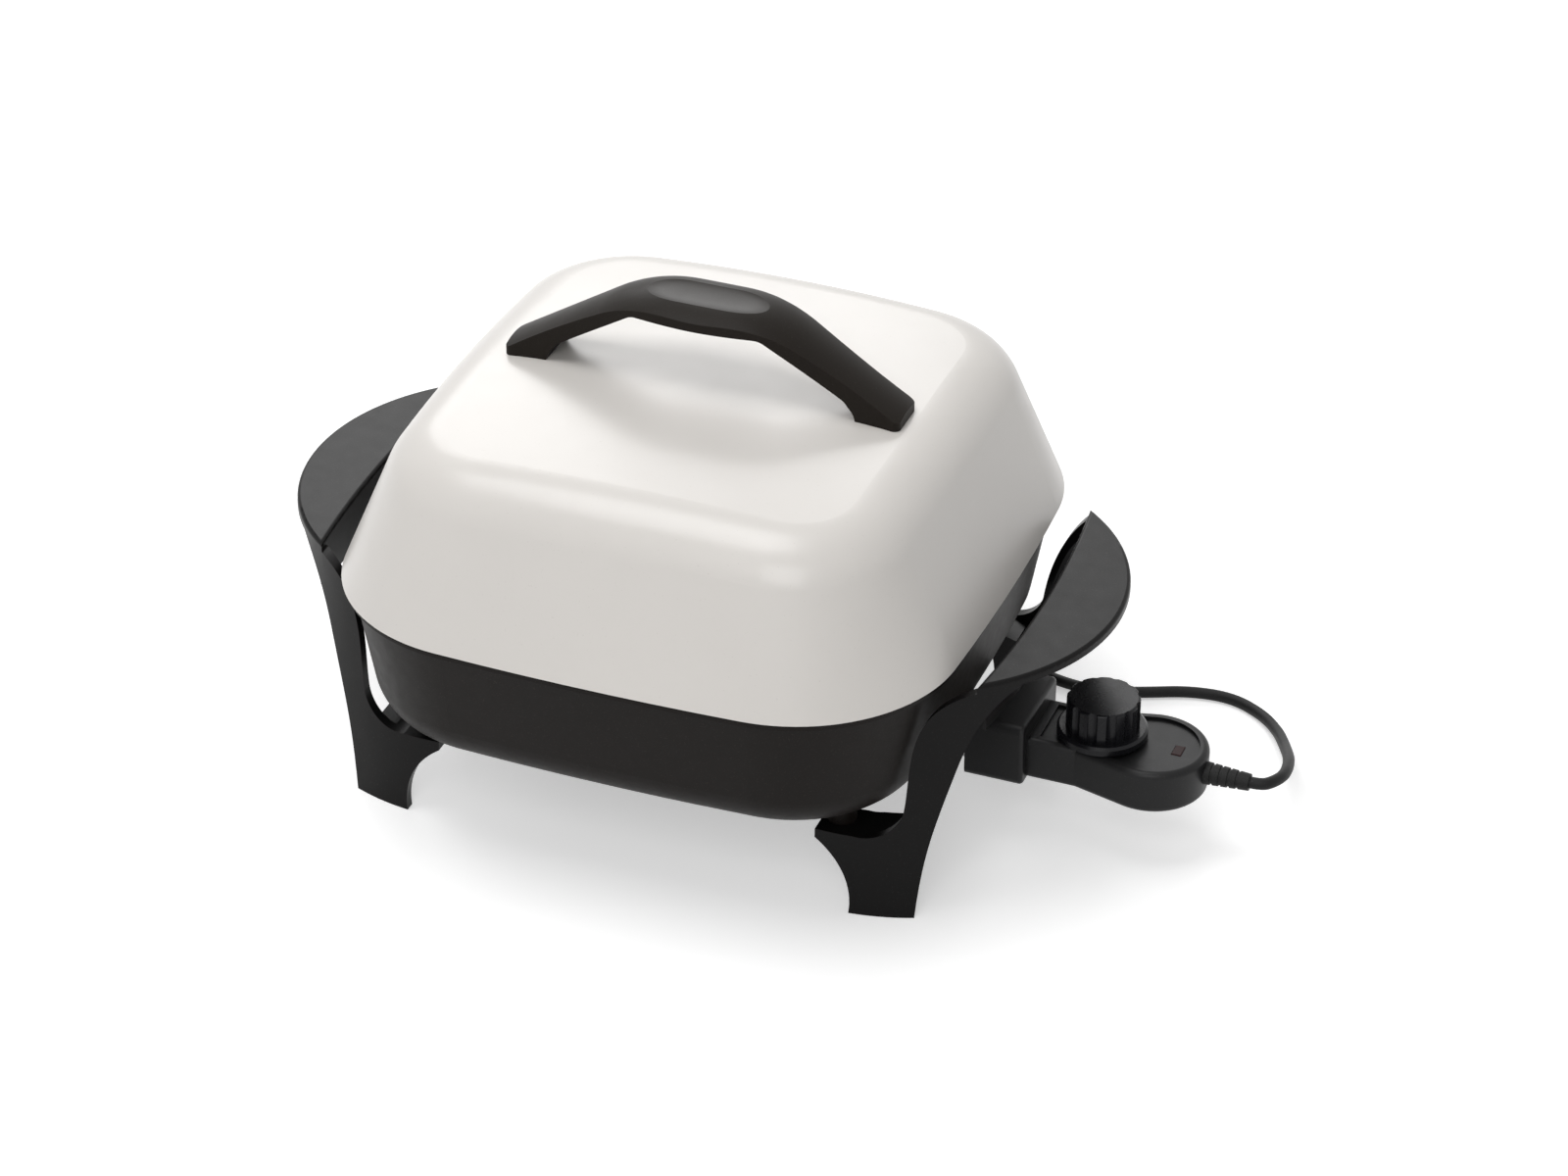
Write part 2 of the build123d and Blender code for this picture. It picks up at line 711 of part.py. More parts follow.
with BuildPart() as right_handle_leg:
    # cone-shaped wall closed by the handle's plate
    with BuildSketch():
        with Locations((arc_centre_x, 0)):
            Circle(arc_foot_radius)
    extrude(amount=handle_top_z, taper=moulding_taper)
    with BuildSketch():
        with Locations((arc_centre_x, 0)):
            Circle(arc_foot_radius - leg_wall)
    extrude(amount=handle_underside_z, taper=moulding_taper, mode=Mode.SUBTRACT)
    # ledge under the pan's corners
    with BuildSketch(Plane.XY.offset(ledge_bottom_z)) as ledges:
        with Locations((arc_centre_x, 0)):
            Circle(arc_foot_radius - leg_wall / 2)
            Circle(arc_foot_radius - ledge_depth, mode=Mode.SUBTRACT)
        with Locations(((ledge_end_x + ledge_far_x) / 2, 0)):
            Rectangle(ledge_far_x - ledge_end_x, 2 * arc_foot_radius, mode=Mode.INTERSECT)
    extrude(amount=ledge_thickness)
    add(leg_views.part, mode=Mode.INTERSECT)
    # side view: arch between the front and the rear leg
    with BuildSketch(Plane.YZ.offset(arch_from_x)) as side_view:
        with BuildLine():
            rear = Spline(*arch_edge)
            front = Spline(*[(-y, z) for y, z in arch_edge])
            Line(rear @ 1, front @ 1)
            Line(rear @ 0, front @ 0)
        make_face()
    extrude(amount=arc_foot_radius, mode=Mode.SUBTRACT)
    # web under the handle's inner edge, then the bowed edge itself
    inner_edge = [(handle_tip_x, -handle_tip_y), (handle_chord_x, 0), (handle_tip_x, handle_tip_y)]
    with BuildSketch(Plane.XY.offset(handle_underside_z)) as web_plan:
        with BuildLine():
            inside = ThreePointArc(*inner_edge)
            outside = ThreePointArc(*[(x + web_thickness, y) for x, y in inner_edge])
            Line(inside @ 0, outside @ 0)
            Line(inside @ 1, outside @ 1)
        make_face()
        with Locations((handle_chord_x, 0)):
            Rectangle(2 * web_half_length, 2 * web_half_length, mode=Mode.INTERSECT)
    extrude(amount=-web_height)
    with BuildSketch(Plane.XY.offset(handle_underside_z)) as inner_plan:
        with BuildLine():
            bow = ThreePointArc(*inner_edge)
            Line(bow @ 0, bow @ 1)
        make_face()
    extrude(amount=handle_plate, mode=Mode.SUBTRACT)
    # room for the pan
    add(
        tub(
            pan_bottom_half_width + pan_slot,
            pan_top_half_width + pan_slot,
            pan_bottom_z - pan_slot,
            flange_z,
            pan_bottom_round + pan_slot,
        ),
        mode=Mode.SUBTRACT,
    )
    with BuildSketch(Plane.XY.offset(ledge_bottom_z)):
        with Locations((leg_screw_x, leg_screw_y), (leg_screw_x, -leg_screw_y)):
            Circle(leg_screw_radius + seat_gap)
    extrude(amount=ledge_thickness, mode=Mode.SUBTRACT)
    top_edge = right_handle_leg.faces().sort_by(Axis.Z)[-1].edges().filter_by(GeomType.CIRCLE)
    fillet(top_edge, handle_edge_round)
right_handle_leg.part.label = "right_handle_leg"
export_step(right_handle_leg.part, "parts/right_handle_leg.step")

with BuildPart() as left_handle_leg:
    add(mirror(right_handle_leg.part, about=Plane.YZ))
left_handle_leg.part.label = "left_handle_leg"
export_step(left_handle_leg.part, "parts/left_handle_leg.step")

leg_washer_planes = [Plane(origin=(x, y, ledge_bottom_z - leg_washer_thickness)) for x, y in leg_screw_points]
with BuildPart() as leg_washers:
    add(washers(leg_washer_planes, leg_washer_radius, leg_screw_radius + seat_gap, leg_washer_thickness))
leg_washers.part.label = "leg_washers"
export_step(leg_washers.part, "parts/leg_washers.step")

with BuildPart() as leg_screws:
    add(screws(leg_washer_planes, leg_screw_radius, leg_washer_thickness + ledge_thickness + leg_screw_bite,
               leg_screw_head_radius, leg_screw_head_height))
leg_screws.part.label = "leg_screws"
export_step(leg_screws.part, "parts/leg_screws.step")

# ================================================================ lid
lid_screw_tilt = asin(lid_screw_x / lid_crown_radius)


def lid_screw_plane(side, depth):
    """Plane square to the lid's crown at a handle screw, a depth below the lid's outer face."""
    radius = lid_crown_radius - depth
    normal = Vector(side * sin(lid_screw_tilt), 0, cos(lid_screw_tilt))
    centre = Vector(0, 0, lid_top_z - lid_crown_radius)
    return Plane(origin=centre + normal * radius, x_dir=(0, 1, 0), z_dir=normal)


with BuildPart() as lid_shell:
    add(dome(0))
    add(dome(lid_wall), mode=Mode.SUBTRACT)
    hem_inner = lid_half_width - lid_hem_width
    extrude(even_outline(lid_half_width - lid_hem_root, lid_rim_z), amount=lid_hem)
    extrude(even_outline(hem_inner, lid_rim_z), amount=lid_hem, mode=Mode.SUBTRACT)
    for side in (1, -1):
        with BuildSketch(lid_screw_plane(side, 2 * lid_wall)):
            Circle(lid_screw_radius + seat_gap)
        extrude(amount=4 * lid_wall, mode=Mode.SUBTRACT)
lid_shell.part.label = "lid_shell"
export_step(lid_shell.part, "parts/lid_shell.step")

with BuildPart() as lid_handle:
    # band with a crowned top, bent down at both ends
    with BuildLine(Plane.XZ) as crest:
        overrun_x = grip_end_x + grip_end_corner
        overrun_z = grip_top_z - (overrun_x - grip_corner_x) * grip_arm_fall
        FilletPolyline(
            (-overrun_x, overrun_z),
            (-grip_corner_x, grip_top_z),
            (grip_corner_x, grip_top_z),
            (overrun_x, overrun_z),
            radius=grip_bend_radius,
        )
    crest_wire = crest.wire()
    crown_drop = grip_crown_radius - sqrt(grip_crown_radius**2 - grip_band_half_width**2)
    with BuildSketch(Plane(origin=crest_wire @ 0, x_dir=(0, 1, 0), z_dir=crest_wire % 0)):
        with BuildLine():
            crown = ThreePointArc(
                (-grip_band_half_width, -crown_drop), (0, 0), (grip_band_half_width, -crown_drop)
            )
            Polyline(
                crown @ 1,
                (grip_band_half_width, -grip_band_depth),
                (-grip_band_half_width, -grip_band_depth),
                crown @ 0,
            )
        make_face()
    sweep(path=crest_wire)
    # plan: widest in the middle, round-cornered ends
    with BuildSketch(Plane.XY.offset(lid_rim_z)) as plan:
        with BuildLine():
            rear_edge = Spline(
                (-grip_end_x, grip_end_half_width),
                (-grip_arm_x, grip_arm_half_width),
                (0, grip_mid_half_width),
                (grip_arm_x, grip_arm_half_width),
                (grip_end_x, grip_end_half_width),
            )
            front_edge = mirror(rear_edge, about=Plane.XZ)
            Line(rear_edge @ 0, front_edge @ 0)
            Line(rear_edge @ 1, front_edge @ 1)
        make_face()
        fillet(plan.vertices(), grip_end_corner)
    extrude(amount=grip_top_z, mode=Mode.INTERSECT)
    # underside between the two posts
    with BuildSketch(Plane.XZ) as underside:
        with BuildLine():
            FilletPolyline(
                (-post_foot_x, lid_rim_z),
                (-post_foot_x, lid_top_z),
                (-post_knee_x, post_knee_z),
                (-grip_underside_half, grip_underside_z),
                (grip_underside_half, grip_underside_z),
                (post_knee_x, post_knee_z),
                (post_foot_x, lid_top_z),
                (post_foot_x, lid_rim_z),
                radius=grip_knee_round,
            )
            Line((-post_foot_x, lid_rim_z), (post_foot_x, lid_rim_z))
        make_face()
    extrude(amount=grip_band_half_width, both=True, mode=Mode.SUBTRACT)
    add(dome(-seat_gap), mode=Mode.SUBTRACT)
    # dish for the thumb
    with Locations(Location((0, 0, grip_top_z - thumb_dish_depth + thumb_dish_radius), (0, 90, 0))):
        Cylinder(thumb_dish_radius, 2 * post_knee_x, mode=Mode.SUBTRACT)
    for side in (1, -1):
        with BuildSketch(lid_screw_plane(side, lid_wall)):
            Circle(lid_screw_radius + seat_gap)
        extrude(amount=lid_wall + lid_screw_bite + drill_allowance, mode=Mode.SUBTRACT)
lid_handle.part.label = "lid_handle"
export_step(lid_handle.part, "parts/lid_handle.step")

lid_washer_planes = [lid_screw_plane(side, lid_wall + seat_gap + lid_washer_thickness) for side in (1, -1)]
with BuildPart() as lid_handle_washers:
    add(washers(lid_washer_planes, lid_washer_radius, lid_screw_radius + seat_gap, lid_washer_thickness))
lid_handle_washers.part.label = "lid_handle_washers"
export_step(lid_handle_washers.part, "parts/lid_handle_washers.step")

with BuildPart() as lid_handle_screws:
    add(screws(lid_washer_planes, lid_screw_radius, lid_washer_thickness + lid_wall + lid_screw_bite,
               lid_screw_head_radius, lid_screw_head_height))
lid_handle_screws.part.label = "lid_handle_screws"
export_step(lid_handle_screws.part, "parts/lid_handle_screws.step")

# ================================================================ heat control
with BuildPart() as contact_block:
    with BuildSketch(Plane.YZ.offset(hood_front_x)):
        with Locations((0, (hood_bottom_z + hood_top_z) / 2)):
            RectangleRounded(2 * hood_half_width, hood_top_z - hood_bottom_z, hood_round)
    extrude(amount=hood_back_x - hood_front_x)
    fillet(contact_block.faces().sort_by(Axis.X)[-1].edges(), hood_edge_round)
    with BuildSketch(Plane.YZ.offset(hood_front_x)):
        with Locations((0, (hood_bottom_z + hood_top_z) / 2)):
            RectangleRounded(
                2 * (hood_half_width - hood_wall),
                hood_top_z - hood_bottom_z - 2 * hood_wall,
                hood_round - hood_wall / 2,
            )
    extrude(amount=hood_back_x - hood_back_wall - hood_front_x, mode=Mode.SUBTRACT)
    with BuildSketch(Plane.YZ.offset(hood_front_x)):
        with Locations(*pin_places):
            Circle(contact_outer_radius + seat_gap)
        with Locations((0, control_z)):
            Circle(sensor_radius + seat_gap)
    extrude(amount=hood_back_x - hood_front_x, mode=Mode.SUBTRACT)
contact_block.part.label = "contact_block"
export_step(contact_block.part, "parts/contact_block.step")

with BuildPart() as female_contacts:
    with BuildSketch(Plane.YZ.offset(contact_front_x)):
        with Locations(*pin_places):
            Circle(contact_outer_radius)
    extrude(amount=contact_end_x - contact_front_x)
    with BuildSketch(Plane.YZ.offset(contact_front_x)):
        with Locations(*pin_places):
            Circle(contact_bore_radius)
    extrude(amount=contact_bore_end_x - contact_front_x, mode=Mode.SUBTRACT)
female_contacts.part.label = "female_contacts"
export_step(female_contacts.part, "parts/female_contacts.step")

with BuildPart() as sensor_tube:
    with BuildSketch(Plane.YZ.offset(sensor_tip_x)):
        with Locations((0, control_z)):
            Circle(sensor_radius)
    extrude(amount=bracket_front_x + bracket_sheet - sensor_tip_x)
    fillet(sensor_tube.faces().sort_by(Axis.X)[0].edges(), sensor_tip_round)
    with BuildSketch(Plane.YZ.offset(sensor_tip_x + 2 * sensor_wall)):
        with Locations((0, control_z)):
            Circle(sensor_radius - sensor_wall)
    extrude(amount=bracket_end_x - sensor_tip_x, mode=Mode.SUBTRACT)
sensor_tube.part.label = "sensor_tube"
export_step(sensor_tube.part, "parts/sensor_tube.step")

with BuildPart() as sensor_rod:
    with BuildSketch(Plane.YZ.offset(sensor_tip_x + 2 * sensor_wall)):
        with Locations((0, control_z)):
            Circle(sensor_rod_radius)
    extrude(amount=leaf_front_x - body_gap - sensor_tip_x - 2 * sensor_wall)
sensor_rod.part.label = "sensor_rod"
export_step(sensor_rod.part, "parts/sensor_rod.step")


def control_outline(inset):
    """Plan of the control's housing: straight neck that widens into a round end."""
    round_end = bulb_radius - inset
    neck = neck_half_width - inset
    # the flank is tangent to the round end
    reach = Vector(neck_end_x - bulb_x, neck)
    turn = atan2(reach.Y, reach.X) - acos(round_end / reach.length)
    touch = Vector(bulb_x + round_end * cos(turn), round_end * sin(turn))
    front = hood_back_x + inset
    with BuildSketch() as plan:
        with BuildLine():
            ThreePointArc((touch.X, touch.Y), (bulb_x + round_end, 0), (touch.X, -touch.Y))
            Polyline(
                (touch.X, -touch.Y),
                (neck_end_x, -neck),
                (front, -neck),
                (front, neck),
                (neck_end_x, neck),
                (touch.X, touch.Y),
            )
        make_face()
    return plan.sketch


housing_posts = [(front_post_x, front_post_y), (front_post_x, -front_post_y),
                 (rear_post_x, rear_post_y), (rear_post_x, -rear_post_y)]


def housing_half(outer_z):
    """One half of the control's housing, from the joint line out to its flat outer face."""
    away = 1 if outer_z > control_z else -1
    depth = abs(outer_z - control_z)
    with BuildPart() as half:
        with BuildSketch(Plane.XY.offset(control_z)):
            add(control_outline(0))
        extrude(amount=away * depth)
        outer_face = half.faces().filter_by(Axis.Z).sort_by(Axis.Z)[-1 if away > 0 else 0]
        fillet(outer_face.edges().filter_by(lambda edge: edge.center().X > hood_back_x + 1), housing_round)
        with BuildSketch(Plane.XY.offset(control_z)):
            add(control_outline(housing_wall))
        extrude(amount=away * (depth - housing_wall), mode=Mode.SUBTRACT)
        with BuildSketch(Plane.XY.offset(control_z)):
            with Locations(*housing_posts):
                Circle(housing_post_radius)
        extrude(amount=away * (depth - housing_wall / 2))
        # front wall: sleeves and sensor tube; rear wall: strain relief
        with BuildSketch(Plane.YZ.offset(hood_back_x)):
            with Locations(*pin_places):
                Circle(contact_outer_radius + seat_gap)
            with Locations((0, control_z)):
                Circle(sensor_radius + seat_gap)
        extrude(amount=housing_wall, mode=Mode.SUBTRACT)
        with BuildSketch(Plane.YZ.offset(housing_end_x)):
            with Locations((0, control_z)):
                Circle(relief_neck_radius + seat_gap)
        extrude(amount=-2 * housing_wall, mode=Mode.SUBTRACT)
    return half.part


with BuildPart() as control_upper_housing:
    add(housing_half(housing_top_z))
    with BuildSketch(Plane.XY.offset(recess_z)):
        add(control_outline(top_recess_inset))
    extrude(amount=top_recess_depth, mode=Mode.SUBTRACT)
    with BuildSketch(Plane.XY.offset(recess_z)):
        with Locations((dial_x, 0)):
            Circle(dial_bush_radius)
    extrude(amount=-(recess_z - ceiling_z + dial_bush_depth))
    with BuildSketch(Plane.XY.offset(recess_z)):
        with Locations((dial_x, 0)):
            Circle(dial_shaft_radius + shaft_clearance)
        with Locations((pilot_x, 0)):
            Rectangle(2 * (pilot_half_length + seat_gap), 2 * (pilot_half_width + seat_gap))
    extrude(amount=-housing_upper_height, mode=Mode.SUBTRACT)
    with BuildSketch(Plane.XY.offset(control_z)):
        with Locations(*housing_posts):
            Circle(housing_screw_radius + seat_gap)
    extrude(amount=housing_screw_bite + drill_allowance, mode=Mode.SUBTRACT)
control_upper_housing.part.label = "control_upper_housing"
export_step(control_upper_housing.part, "parts/control_upper_housing.step")

with BuildPart() as control_lower_housing:
    add(housing_half(housing_bottom_z))
    with BuildSketch(Plane.XY.offset(floor_plate_z)):
        with Locations((bracket_front_x + pad_inset, 0), (bracket_end_x - pad_inset, 0)):
            Circle(pad_radius)
    extrude(amount=bracket_z - floor_plate_z)
    with BuildSketch(Plane.XY.offset(housing_bottom_z)):
        with Locations(*housing_posts):
            Circle(housing_screw_radius + seat_gap)
    extrude(amount=housing_lower_height, mode=Mode.SUBTRACT)
    with BuildSketch(Plane.XY.offset(housing_bottom_z)):
        with Locations(*housing_posts):
            Circle(housing_screw_head_radius + body_gap)
    extrude(amount=housing_screw_head_height, mode=Mode.SUBTRACT)
control_lower_housing.part.label = "control_lower_housing"
export_step(control_lower_housing.part, "parts/control_lower_housing.step")

with BuildPart() as housing_screws:
    head_z = housing_bottom_z + housing_screw_head_height
    add(screws([Plane(origin=(x, y, head_z)) for x, y in housing_posts], housing_screw_radius,
               control_z - head_z + housing_screw_bite,
               housing_screw_head_radius, housing_screw_head_height))
housing_screws.part.label = "housing_screws"
export_step(housing_screws.part, "parts/housing_screws.step")

# switch inside the housing
with BuildPart() as switch_bracket:
    with BuildSketch(Plane.XZ) as side_view:
        with BuildLine():
            Polyline(
                (bracket_end_x, bracket_z),
                (bracket_front_x, bracket_z),
                (bracket_front_x, bracket_z + bracket_height),
                (bracket_front_x + bracket_sheet, bracket_z + bracket_height),
                (bracket_front_x + bracket_sheet, bracket_z + bracket_sheet),
                (bracket_end_x, bracket_z + bracket_sheet),
                close=True,
            )
        make_face()
    extrude(amount=bracket_half_width, both=True)
    with BuildSketch(Plane.YZ.offset(bracket_front_x)):
        with Locations((0, control_z)):
            Circle(sensor_radius + seat_gap)
    extrude(amount=bracket_sheet, mode=Mode.SUBTRACT)
switch_bracket.part.label = "switch_bracket"
export_step(switch_bracket.part, "parts/switch_bracket.step")

stack_z = bracket_z + bracket_sheet
with BuildPart() as leaf_insulator:
    with BuildSketch(Plane.XY.offset(stack_z)):
        with Locations((stack_front_x, 0)):
            Rectangle(bracket_end_x - stack_front_x, 2 * stack_half_width, align=(Align.MIN, Align.CENTER))
    extrude(amount=stack_height)
    for leaf_z in (fixed_leaf_z, moving_leaf_z):
        with BuildSketch(Plane.XY.offset(leaf_z - seat_gap)):
            with Locations((stack_front_x, 0)):
                Rectangle(
                    bracket_end_x - stack_front_x,
                    2 * (leaf_half_width + seat_gap),
                    align=(Align.MIN, Align.CENTER),
                )
        extrude(amount=leaf_thickness + 2 * seat_gap, mode=Mode.SUBTRACT)
leaf_insulator.part.label = "leaf_insulator"
export_step(leaf_insulator.part, "parts/leaf_insulator.step")


def leaf_strip(front_x, end_x, height):
    """Flat switch leaf."""
    with BuildPart() as strip:
        with BuildSketch(Plane.XY.offset(height)):
            with Locations((front_x, 0)):
                Rectangle(end_x - front_x, 2 * leaf_half_width, align=(Align.MIN, Align.CENTER))
        extrude(amount=leaf_thickness)
    return strip.part


with BuildPart() as fixed_leaf:
    add(leaf_strip(leaf_front_x, fixed_leaf_end_x, fixed_leaf_z))
fixed_leaf.part.label = "fixed_leaf"
export_step(fixed_leaf.part, "parts/fixed_leaf.step")

with BuildPart() as moving_leaf:
    add(leaf_strip(leaf_front_x, moving_leaf_end_x, moving_leaf_z))
    # tab turned down in front of the rod
    with BuildSketch(Plane.XY.offset(moving_leaf_z)):
        with Locations((leaf_front_x, 0)):
            Rectangle(leaf_thickness, 2 * leaf_half_width, align=(Align.MIN, Align.CENTER))
    extrude(amount=-leaf_tab_depth)
moving_leaf.part.label = "moving_leaf"
export_step(moving_leaf.part, "parts/moving_leaf.step")

with BuildPart() as contact_points:
    fixed_top_z = fixed_leaf_z + leaf_thickness
    point_height = (moving_leaf_z - fixed_top_z - contact_opening) / 2
    for low_z in (fixed_top_z, moving_leaf_z - point_height):
        with BuildSketch(Plane.XY.offset(low_z)):
            with Locations((contact_point_x, 0)):
                Circle(contact_point_radius)
        extrude(amount=point_height)
contact_points.part.label = "contact_points"
export_step(contact_points.part, "parts/contact_points.step")

# three insulated wires, each laid in straight runs and tangent arcs
lead_routes = [
    [
        (contact_end_x, -pin_spacing / 2, control_z),
        (hood_front_x + lead_bend_at, -pin_spacing / 2, control_z),
        (hood_front_x + lead_up_at, -lead_y, lead_high_z),
        (hood_front_x + lead_down_at, -lead_y, lead_high_z),
        (hood_front_x + lead_low_at, -lead_end_y, control_z),
        (relief_flange_x, -lead_end_y, control_z),
    ],
    [
        (contact_end_x, pin_spacing / 2, control_z),
        (hood_front_x + lead_bend_at, pin_spacing / 2, control_z),
        (hood_front_x + lead_up_at, lead_y, lead_high_z),
        (hood_front_x + link_down_at, lead_y, lead_high_z),
        (hood_front_x + link_end_at, 0, lead_high_z + link_crest),
        (hood_front_x + link_end_at, 0, moving_leaf_z + leaf_thickness),
    ],
    [
        (hood_front_x + return_start_at, 0, fixed_leaf_z + leaf_thickness),
        (hood_front_x + return_start_at, 0, control_z + return_rise),
        (hood_front_x + return_low_at, lead_end_y, control_z),
        (relief_flange_x, lead_end_y, control_z),
    ],
]
with BuildPart() as lead_wires:
    for route in lead_routes:
        with BuildLine() as lead_line:
            FilletPolyline(*route, radius=lead_bend_radius)
        add(swept_rod(lead_line.wire(), lead_radius))
lead_wires.part.label = "lead_wires"
export_step(lead_wires.part, "parts/lead_wires.step")

with BuildPart() as pilot_lamp:
    with Locations(Location((pilot_x, 0, lamp_z), (90, 0, 0))):
        Cylinder(lamp_radius, lamp_length)
    fillet(pilot_lamp.edges().filter_by(GeomType.CIRCLE), 0.5 * lamp_radius)
pilot_lamp.part.label = "pilot_lamp"
export_step(pilot_lamp.part, "parts/pilot_lamp.step")

with BuildPart() as pilot_lens:
    with BuildSketch(Plane.XY.offset(recess_z + pilot_lens_proud)):
        with Locations((pilot_x, 0)):
            Rectangle(2 * pilot_half_length, 2 * pilot_half_width)
    extrude(amount=-pilot_lens_depth)
    chamfer(pilot_lens.faces().sort_by(Axis.Z)[-1].edges(), pilot_lens_proud)
pilot_lens.part.label = "pilot_lens"
export_step(pilot_lens.part, "parts/pilot_lens.step")

# ================================================================ dial
bush_bottom_z = ceiling_z - dial_bush_depth
skirt_z = housing_top_z + dial_lift
dial_grip_z = skirt_z + dial_skirt_height
collar_top_z = bush_bottom_z - body_gap
pusher_end_z = moving_leaf_z + leaf_thickness + body_gap

with BuildPart() as dial_knob:
    with BuildSketch(Plane.XY.offset(skirt_z)):
        with Locations((dial_x, 0)):
            Circle(dial_radius)
    extrude(amount=dial_skirt_height)
    chamfer(dial_knob.faces().sort_by(Axis.Z)[-1].edges(), dial_edge_round)
    with BuildSketch(Plane.XY.offset(dial_grip_z - dial_edge_round)):
        with Locations((dial_x, 0)):
            Circle(dial_grip_radius)
    extrude(amount=dial_top_z - dial_grip_z + dial_edge_round)
    fillet(dial_knob.faces().sort_by(Axis.Z)[-1].edges(), dial_edge_round)
    # finger flutes
    with BuildSketch(Plane.XY.offset(dial_grip_z)):
        with Locations((dial_x, 0)):
            with PolarLocations(dial_grip_radius + dial_flute_radius - dial_flute_depth, dial_flutes):
                Circle(dial_flute_radius)
    extrude(amount=dial_top_z - dial_grip_z, mode=Mode.SUBTRACT)
    with BuildSketch(Plane.XY.offset(skirt_z)):
        with Locations((dial_x, 0)):
            Circle(dial_shaft_radius + seat_gap)
    extrude(amount=dial_socket_depth, mode=Mode.SUBTRACT)
dial_knob.part.label = "dial_knob"
export_step(dial_knob.part, "parts/dial_knob.step")

with BuildPart() as dial_shaft:
    with BuildSketch(Plane.XY.offset(collar_top_z - dial_collar_thickness)):
        with Locations((dial_x, 0)):
            Circle(dial_shaft_radius)
    extrude(amount=skirt_z + dial_socket_depth - collar_top_z + dial_collar_thickness)
    with BuildSketch(Plane.XY.offset(collar_top_z - dial_collar_thickness)):
        with Locations((dial_x, 0)):
            Circle(dial_collar_radius)
    extrude(amount=dial_collar_thickness)
    with BuildSketch(Plane.XY.offset(collar_top_z)):
        with Locations((dial_x, 0)):
            Circle(dial_pusher_radius)
    extrude(amount=pusher_end_z - collar_top_z)
dial_shaft.part.label = "dial_shaft"
export_step(dial_shaft.part, "parts/dial_shaft.step")

# ================================================================ mains cord
with BuildPart() as strain_relief:
    with BuildSketch(Plane.XZ):
        with BuildLine():
            Polyline(
                (relief_flange_x, control_z),
                (relief_flange_x, control_z + relief_flange_radius),
                (relief_flange_end_x, control_z + relief_flange_radius),
                (relief_flange_end_x, control_z + relief_neck_radius),
                (housing_end_x, control_z + relief_neck_radius),
                (relief_end_x, control_z + relief_end_radius),
                (relief_end_x, control_z),
                close=True,
            )
        make_face()
        for groove in range(relief_grooves):
            with Locations((relief_first_groove_x + groove * relief_groove_pitch, control_z + relief_neck_radius)):
                Rectangle(relief_groove_width, 2 * relief_groove_depth + relief_groove_depth * groove / 2,
                          mode=Mode.SUBTRACT)
    revolve(axis=Axis((0, 0, control_z), (1, 0, 0)))
strain_relief.part.label = "strain_relief"
export_step(strain_relief.part, "parts/strain_relief.step")


def corner_radii(points, share):
    """Radius at each corner so that its arc takes up the same share of the shorter run beside it."""
    radii = []
    for before, corner, after in zip(points, points[1:], points[2:]):
        run_in = Vector(*corner) - Vector(*before)
        run_out = Vector(*after) - Vector(*corner)
        half_turn = radians(run_in.get_angle(run_out)) / 2
        radii.append(share * min(run_in.length, run_out.length) / tan(half_turn))
    return radii


cord_radii = corner_radii(cord_route, cord_corner_share)
with BuildLine() as cord_line:
    FilletPolyline(*cord_route, radius=cord_radii)
with BuildPart() as cord:
    add(swept_rod(cord_line.wire(), cord_diameter / 2))
cord.part.label = "cord"
export_step(cord.part, "parts/cord.step")

with BuildPart() as cord_coil:
    with BuildSketch(Plane.XY.offset(table_gap)):
        with Locations((coil_x, coil_y)):
            Circle(coil_radius + coil_half_width)
            Circle(coil_radius - coil_half_width, mode=Mode.SUBTRACT)
    extrude(amount=cord_diameter)
    fillet(cord_coil.edges().filter_by(GeomType.CIRCLE), coil_edge_round)
cord_coil.part.label = "cord_coil"
export_step(cord_coil.part, "parts/cord_coil.step")

tail_y = coil_y + coil_radius
tail_end_x = coil_x - tail_length
with BuildPart() as cord_tail:
    add(rod_between((coil_x, tail_y, plug_z), (tail_end_x, tail_y, plug_z), cord_diameter / 2))
cord_tail.part.label = "cord_tail"
export_step(cord_tail.part, "parts/cord_tail.step")

plug_front_x = tail_end_x - plug_nose_length - plug_length
with BuildPart() as plug_body:
    with BuildSketch(Plane.YZ.offset(plug_front_x)):
        with Locations((tail_y, plug_z)):
            RectangleRounded(plug_width, plug_height, plug_round)
    extrude(amount=plug_length)
    fillet(plug_body.faces().sort_by(Axis.X)[-1].edges(), plug_round)
    with BuildSketch(Plane.YZ.offset(tail_end_x)):
        with Locations((tail_y, plug_z)):
            Circle(plug_nose_radius)
    extrude(amount=-plug_nose_length - plug_round, taper=-plug_nose_taper)
    for side in (1, -1):
        with BuildSketch(Plane.YZ.offset(plug_front_x)):
            with Locations((tail_y + side * blade_spacing / 2, plug_z)):
                Rectangle(blade_thickness + 2 * seat_gap, blade_width + 2 * seat_gap)
        extrude(amount=blade_seat, mode=Mode.SUBTRACT)
plug_body.part.label = "plug_body"
export_step(plug_body.part, "parts/plug_body.step")

with BuildPart() as plug_blades:
    for side in (1, -1):
        with BuildSketch(Plane.YZ.offset(plug_front_x + blade_seat)):
            with Locations((tail_y + side * blade_spacing / 2, plug_z)):
                Rectangle(blade_thickness, blade_width)
        extrude(amount=-blade_seat - blade_length)
    chamfer(plug_blades.faces().sort_by(Axis.X)[:2].edges(), blade_thickness / 3)
plug_blades.part.label = "plug_blades"
export_step(plug_blades.part, "parts/plug_blades.step")

